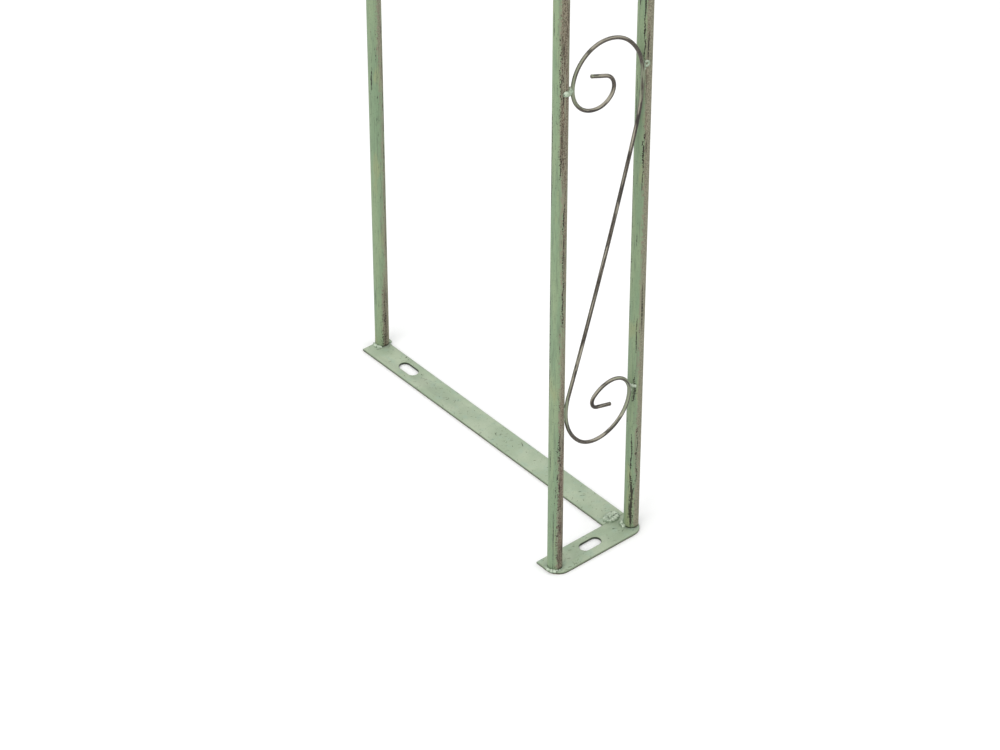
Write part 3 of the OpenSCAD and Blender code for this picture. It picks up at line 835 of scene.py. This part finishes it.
def front_bar_outline(inset):
    """Anticlockwise, with the two front corners round."""
    low, high = front_bar_low, front_bar_high
    radius = CORNER_R - inset
    front = low.y + CORNER_R
    points = corner_points((low.x + CORNER_R, front), radius, 180)
    points += corner_points((high.x - CORNER_R, front), radius, 270)
    return points + [(high.x - inset, high.y - inset), (low.x + inset, high.y - inset)]


def side_bar_outline(inset):
    low, high = side_bar_low, side_bar_high
    return [
        (low.x + inset, low.y + inset), (high.x - inset, low.y + inset),
        (high.x - inset, high.y - inset), (low.x + inset, high.y - inset),
    ]


def slot_outline(centre, along_y, outset):
    """Anticlockwise round a slot with round ends, this much larger all round."""
    half = (SLOT_LENGTH - SLOT_WIDTH) / 2
    radius = SLOT_WIDTH / 2 + outset
    points = []
    for end, first in ((1, 270), (-1, 90)):
        points += corner_points((end * half, 0), radius, first)
        points += corner_points((end * half, 0), radius, first + 90)[1:]
    if along_y:
        points = [(-y, x) for x, y in points]
    return [(centre[0] + x, centre[1] + y) for x, y in points]


def bar_mesh(name, outline, slot, side):
    """A flat bar with softened edges and a slot through it, whose wall is marked for painted shade.
    """
    levels = ((BAR_EDGE, 0.0), (0.0, BAR_EDGE), (0.0, BAR_T - BAR_EDGE), (BAR_EDGE, BAR_T))
    points, faces, wall, rings = [], [], [], []
    for shape, in_slot in ((outline, False), (slot, True)):
        loops = []
        for inset, z in levels:
            loop = shape(inset)
            loops.append(range(len(points), len(points) + len(loop)))
            points += [(x, y, z) for x, y in loop]
            wall += [1.0 if in_slot and z < BAR_T else 0.0] * len(loop)
        for lower, upper in zip(loops, loops[1:]):
            for i in range(len(lower)):
                k = (i + 1) % len(lower)
                face = (lower[i], lower[k], upper[k], upper[i])
                faces.append(tuple(reversed(face)) if in_slot else face)
        rings.append(loops)
    for level, upward in ((0, False), (len(levels) - 1, True)):
        shapes = [[Vector(points[i]) for i in loops[level]] for loops in rings]
        indices = [i for loops in rings for i in loops[level]]
        for corners in geometry.tessellate_polygon(shapes):
            a, b, c = (indices[i] for i in corners)
            corner = Vector(points[a])
            across = (Vector(points[b]) - corner).cross(Vector(points[c]) - corner)
            faces.append((a, b, c) if (across.z > 0) == upward else (c, b, a))
    return mesh_of(name, mirrored(points, side), turned(faces, side), wall=wall)


def make_bars():
    front_slot = (-INNER_X + FRONT_SLOT[0], FRONT_Y + FRONT_SLOT[1])
    side_slot = (-INNER_X + SIDE_SLOT[0], FRONT_Y + SIDE_SLOT[1])
    for side in SIDES:
        for kind, outline, centre, along_y in (
            ("front_foot_bar", front_bar_outline, front_slot, False),
            ("side_foot_bar", side_bar_outline, side_slot, True),
        ):
            name = f"{side}_{kind}"
            slot = functools.partial(slot_outline, centre, along_y)
            piece = add_piece(name, bar_mesh(name, outline, slot, side), BAR_PAINT)
            piece.data.set_sharp_from_angle(angle=BAR_SHARP_ANGLE)


# Weld beads


BEAD_VOXEL = 0.4 * MM
BEAD_GRAIN = 2.2 * MM
FOOT_ROUGHNESS = 0.5 * MM
SCROLL_ROUGHNESS = 0.35 * MM
RUNG_ROUGHNESS = 0.3 * MM


def beads(name, lumps, side, roughness):
    """Lumps of weld metal fused into smooth beads. A lump is a centre and a radius."""
    work = bmesh.new()
    for centre, radius in lumps:
        at = Matrix.Translation(centre)
        bmesh.ops.create_icosphere(work, subdivisions=3, radius=radius, matrix=at)
    raw = bpy.data.meshes.new(name + "_raw")
    work.to_mesh(raw)
    work.free()
    helper = bpy.data.objects.new(name + "_raw", raw)
    bpy.context.scene.collection.objects.link(helper)
    fuse = helper.modifiers.new("fuse", "REMESH")
    fuse.mode = "VOXEL"
    fuse.voxel_size = BEAD_VOXEL
    soften = helper.modifiers.new("soften", "SMOOTH")
    soften.factor = 0.5
    soften.iterations = 3
    graph = bpy.context.evaluated_depsgraph_get()
    mesh = bpy.data.meshes.new_from_object(helper.evaluated_get(graph), depsgraph=graph)
    bpy.data.objects.remove(helper)
    bpy.data.meshes.remove(raw)
    normals = [v.normal.copy() for v in mesh.vertices]
    for vertex, normal in zip(mesh.vertices, normals):
        vertex.co += normal * roughness * noise.noise(vertex.co / BEAD_GRAIN)
    if side == "right":
        mesh.transform(Matrix.Scale(-1, 4, (1, 0, 0)))
        mesh.flip_normals()
    mesh.name = name
    add_piece(name, mesh, WELD_PAINT)


ARC_LUMP_GAP = 1.6 * MM
ARC_RIPPLE = 0.25


def arc_lumps(centre, radius, first, last, lump_r, z):
    """A row of lumps along an arc on the bar, with ripples in their size."""
    length = math.radians(last - first) * radius
    count = max(2, round(length / ARC_LUMP_GAP))
    lumps = []
    for i in range(count + 1):
        a = math.radians(first + (last - first) * i / count)
        taper = 0.62 + 0.38 * math.sin(math.pi * i / count)
        ripple = 1 + ARC_RIPPLE * math.sin(i * 2.4)
        at = (centre[0] + radius * math.cos(a), centre[1] + radius * math.sin(a), z)
        lumps.append((at, lump_r * taper * ripple))
    return lumps


BEAD_LUMPS = 14


def foot_lumps():
    """The beads round the feet of the posts and the oval one, with a crater, over the bars' joint."""
    outer, inner, back = POSTS.values()
    lumps = arc_lumps(outer, 9.2 * MM, 150, 262, 2.0 * MM, BAR_T + 0.2 * MM)
    lumps += arc_lumps(inner, 9.6 * MM, 108, 178, 2.8 * MM, BAR_T + 0.4 * MM)
    lumps += arc_lumps(back, 9.3 * MM, 150, 226, 2.2 * MM, BAR_T + 0.2 * MM)
    lumps += arc_lumps(back, 8.8 * MM, 318, 345, 2.0 * MM, BAR_T + 0.6 * MM)
    middle = (inner[0] - 9.6 * MM, BAR_SEAM_Y + 3 * MM)
    for i in range(BEAD_LUMPS):
        a = 2 * math.pi * i / BEAD_LUMPS
        across = 7.4 * MM * math.cos(a)
        along = 4.4 * MM * math.sin(a)
        at = (middle[0] + across, middle[1] + along, BAR_T + 0.6 * MM)
        lumps.append((at, (3.1 + 0.2 * math.sin(3 * a)) * MM))
    lumps.append(((middle[0], middle[1], BAR_T - 0.1 * MM), 2.7 * MM))
    return lumps


def bridge_lumps(wire, post):
    """A short bridge of weld from the wire to the tube beside it."""
    across = post - wire
    way = across.normalized()
    near = wire + way * WIRE_R * 0.6
    far = post - way * TUBE_R * 0.92
    return [
        (near, 2.9 * MM),
        (near.lerp(far, 0.4) + Vector((0, -0.4 * MM, 1.6 * MM)), 2.8 * MM),
        (near.lerp(far, 0.6) + Vector((0, -0.3 * MM, -1.6 * MM)), 2.6 * MM),
        (far, 2.9 * MM),
    ]


def on_tube(post, bearing, lift, reach=TUBE_R):
    """A place on the surface of an upright tube, from its axis point and a compass bearing."""
    angle = math.radians(bearing)
    return post + Vector((reach * math.cos(angle), reach * math.sin(angle), lift))


RING_LUMPS = 8
SMEAR_LUMPS = 9
RUNG_WELD_LUMPS = 12


def leg_weld_lumps(number):
    """The four welds of a leg scroll: two lumps, a small ring, a long smear and a short bridge."""
    upper_left, upper_right, lower_left, lower_right = leg_scroll_welds(number)
    wire, post = upper_left
    lumps = bridge_lumps(wire, post)
    lumps += [(on_tube(post, 304, -1.5 * MM), 3.0 * MM), (on_tube(post, 270, 0.5 * MM), 3.3 * MM)]
    _, post = upper_right
    lumps += [(on_tube(post, 226, lift * MM), 1.8 * MM) for lift in (4, 7)]
    for i in range(RING_LUMPS):
        a = 2 * math.pi * i / RING_LUMPS
        lift = (10 + 2.6 * math.sin(a)) * MM
        at = on_tube(post, 243 + 16 * math.cos(a), lift, TUBE_R + 0.2 * MM)
        lumps.append((at, 1.4 * MM))
    wire, post = lower_left
    way = (post - wire).normalized()
    for i in range(SMEAR_LUMPS):
        at = wire + way * (WIRE_R + 0.4 * MM) + Vector((0, -0.6 * MM, (i - 3.5) * 2.2 * MM))
        lumps.append((at, (1.5 + 0.2 * math.sin(2 * i)) * MM))
    wire, post = lower_right
    lumps += [(wire + (post - wire).normalized() * WIRE_R, 2.2 * MM)]
    for bearing, size in ((190, 2.1), (208, 2.2), (228, 2.0)):
        lumps.append((on_tube(post, bearing, 0.4 * MM), size * MM))
    return lumps


def ring_lumps(post, rung_way):
    """A ring of weld round a rung where it meets a tube, from the tube's axis point there."""
    lumps = []
    for i in range(RUNG_WELD_LUMPS):
        a = 2 * math.pi * i / RUNG_WELD_LUMPS
        side = (RUNG_R + 0.9 * MM) * math.cos(a)
        up = (RUNG_R + 0.9 * MM) * math.sin(a)
        depth = math.sqrt(TUBE_R**2 - side**2) + 0.2 * MM
        at = post + Vector((side, rung_way * depth, up))
        lumps.append((at, (1.5 + 0.25 * math.sin(i * 2.1)) * MM))
    return lumps


def arch_weld_lumps():
    lumps = []
    for angle in ARCH_SCROLLS.values():
        for wire, tube in arch_scroll_welds(angle):
            lumps += bridge_lumps(wire, tube)
    return lumps


def rung_weld_lumps(places):
    lumps = []
    for x, z in places:
        lumps += ring_lumps(Vector((x, FRONT_Y, z)), 1)
        lumps += ring_lumps(Vector((x, BACK_Y, z)), -1)
    return lumps


def make_welds():
    leg_lumps = [lump for n in range(len(LEG_SCROLLS)) for lump in leg_weld_lumps(n)]
    for side in SIDES:
        beads(f"{side}_foot_welds", foot_lumps(), side, FOOT_ROUGHNESS)
        beads(f"{side}_scroll_welds", leg_lumps, side, SCROLL_ROUGHNESS)
        beads(f"{side}_arch_scroll_welds", arch_weld_lumps(), side, SCROLL_ROUGHNESS)
        for kind, places in (("rung_welds", SIDE_RUNG_PLACES), ("roof_rung_welds", ROOF_RUNG_PLACES)):
            beads(f"{side}_{kind}", rung_weld_lumps(places), side, RUNG_ROUGHNESS)


# Screws and nuts

SCREW_AROUND = 48
NUT_AROUND = 72
METAL_SHARP_ANGLE = math.radians(35)


def lathe(profile, around, at, shape=None, shaped_from=0):
    """A closed solid turned about its own Z axis and put in place. From one ring of the profile
    on, shape gives the most that the radius may be at an angle."""
    points = []
    for number, (radius, z) in enumerate(profile):
        for i in range(around):
            angle = 2 * math.pi * i / around
            r = min(radius, shape(angle)) if shape and number >= shaped_from else radius
            points.append(at @ Vector((r * math.cos(angle), r * math.sin(angle), z)))
    faces = []
    for i in range(len(profile) - 1):
        for j in range(around):
            k = (j + 1) % around
            a, b = i * around, (i + 1) * around
            faces.append((a + j, a + k, b + k, b + j))
    faces.append(tuple(reversed(range(around))))
    faces.append(tuple(range((len(profile) - 1) * around, len(profile) * around)))
    return np.array([tuple(p) for p in points]), faces, np.zeros((len(points), 3))


def hexagon(across_flats):
    def radius(angle):
        return across_flats / 2 / math.cos(angle % (math.pi / 3) - math.pi / 6)
    return radius


def screw_shape(at):
    """A button head with a hexagonal socket, and a threaded end past the nut."""
    tip = -TUBE_R - NUT_H - 1 * MM
    profile = [(SCREW_R - 0.7 * MM, tip)]
    for i in range(THREAD_TURNS):
        z = tip + 0.4 * MM + i * THREAD_PITCH
        profile += [(SCREW_R, z), (SCREW_R - 0.35 * MM, z + THREAD_PITCH / 2)]
    profile += [(SCREW_R, tip + 0.4 * MM + THREAD_TURNS * THREAD_PITCH), (SCREW_R, TUBE_R)]
    profile += [(HEAD_R - 0.15 * MM, TUBE_R), (HEAD_R, TUBE_R + 0.3 * MM)]
    for i in range(1, 8):
        angle = math.radians(10 * i)
        radius = HEAD_R * (0.42 + 0.58 * math.cos(angle))
        rise = (HEAD_H - 0.4 * MM) * math.sin(angle) / math.sin(math.radians(70))
        profile.append((radius, TUBE_R + 0.4 * MM + rise))
    top = TUBE_R + HEAD_H
    socket = [(HEAD_R, top), (HEAD_R, top - SOCKET_DEPTH)]
    return lathe(profile + socket, SCREW_AROUND, at, hexagon(SOCKET_AF), len(profile))


def nut_shape(at):
    corner = NUT_AF / 2 / math.cos(math.pi / 6)
    low, high = -TUBE_R - NUT_H, -TUBE_R
    bevel = (corner - NUT_AF / 2) * 0.6
    inner = NUT_AF / 2 - 0.1 * MM
    profile = [(inner, low), (corner, low + bevel), (corner, high - bevel), (inner, high)]
    return lathe(profile, NUT_AROUND, at, hexagon(NUT_AF))


def head_outward(kind):
    """Turns a screw along Y, with its head on the outside of the front or back frame."""
    return Matrix.Rotation(math.radians(-90 if kind == "back" else 90), 4, "X")


def leg_screw_places():
    for kind, (x, y) in POSTS.items():
        for way in (-1, 1):
            yield Matrix.Translation((x, y, JOINT_Z + way * SCREW_OFFSET)) @ head_outward(kind)


def crown_screw_places():
    for kind, (radius, y) in ARCHES.items():
        for way in (-1, 1):
            angle = math.radians(way * CROWN_SCREW_ANGLE)
            at = (radius * math.sin(angle), y, SPRING_Z + radius * math.cos(angle))
            yield Matrix.Translation(at) @ head_outward(kind)


def make_fasteners():
    for kind, shape in (("screws", screw_shape), ("nuts", nut_shape)):
        for side in SIDES:
            points, faces, _ = join_shapes([shape(at) for at in leg_screw_places()])
            name = f"{side}_leg_{kind}"
            mesh = mesh_of(name, mirrored(points, side), turned(faces, side))
            piece = add_piece(name, mesh, ZINC)
            piece.data.set_sharp_from_angle(angle=METAL_SHARP_ANGLE)
        points, faces, _ = join_shapes([shape(at) for at in crown_screw_places()])
        mesh = mesh_of(f"crown_{kind}", points, faces)
        piece = add_piece(f"crown_{kind}", mesh, ZINC)
        piece.data.set_sharp_from_angle(angle=METAL_SHARP_ANGLE)


def finish_spigots():
    """The inserts inside the joints keep their CAD shape and get a steel finish."""
    for name in ("left_leg_spigots", "right_leg_spigots", "crown_spigots"):
        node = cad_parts[name]
        node.data.materials.clear()
        node.data.materials.append(INSERT_STEEL)


# Stage

CAMERA_PLACE = (-2.562, -2.310, 2.376)
CAMERA_BEARING = -40.27
CAMERA_ELEVATION = 37.15
CAMERA_LENS = 126.46
FLOOR_SIZE = 80


def make_floor():
    bpy.ops.mesh.primitive_plane_add(size=FLOOR_SIZE, location=(0, 0, -0.05 * MM))
    floor = bpy.context.object
    floor.name = "floor"
    paper = Shader("white_paper")
    place = paper.place()
    shade = paper.noise(paper.stretch(place, (3, 3, 3)), 2)
    colour = paper.mix(paper.step(shade, 0.3, 0.7), (0.93, 0.93, 0.93, 1), (0.95, 0.95, 0.95, 1))
    floor.data.materials.append(paper.finish(colour, paper.step(shade, 0.3, 0.7, 0.85, 0.95)))


def make_light(name, place, target, size, power):
    light = bpy.data.lights.new(name, "AREA")
    light.shape = "RECTANGLE"
    light.size, light.size_y = size
    light.energy = power
    holder = bpy.data.objects.new(name, light)
    holder.location = place
    holder.rotation_mode = "QUATERNION"
    holder.rotation_quaternion = (Vector(target) - Vector(place)).to_track_quat("-Z", "Y")
    holder.visible_camera = False
    bpy.context.scene.collection.objects.link(holder)


def make_lights():
    world = bpy.data.worlds.new("white_studio")
    world.use_nodes = True
    sky = world.node_tree.nodes["Background"]
    sky.inputs["Color"].default_value = (1.0, 1.0, 1.0, 1.0)
    sky.inputs["Strength"].default_value = 0.95
    bpy.context.scene.world = world
    make_light("key", (-5.5, -1.0, 4.5), (-0.6, -0.1, 0.8), (5.0, 5.0), 170)
    make_light("fill", (3.5, -4.5, 3.0), (0, 0, 1.0), (4.0, 4.0), 60)


def make_camera():
    data = bpy.data.cameras.new("camera")
    data.lens = CAMERA_LENS
    data.sensor_width = 36
    data.clip_end = 200
    camera = bpy.data.objects.new("camera", data)
    bearing, elevation = math.radians(CAMERA_BEARING), math.radians(CAMERA_ELEVATION)
    back = Vector((
        math.sin(bearing) * math.cos(elevation),
        -math.cos(bearing) * math.cos(elevation),
        math.sin(elevation),
    ))
    camera.location = CAMERA_PLACE
    camera.rotation_mode = "QUATERNION"
    camera.rotation_quaternion = (-back).to_track_quat("-Z", "Y")
    bpy.context.scene.collection.objects.link(camera)
    bpy.context.scene.camera = camera


make_camera()
make_posts()
make_arches()
make_rungs()
make_scrolls()
make_bars()
make_welds()
make_fasteners()
finish_spigots()
make_floor()
make_lights()
bpy.context.scene.view_settings.view_transform = "Standard"
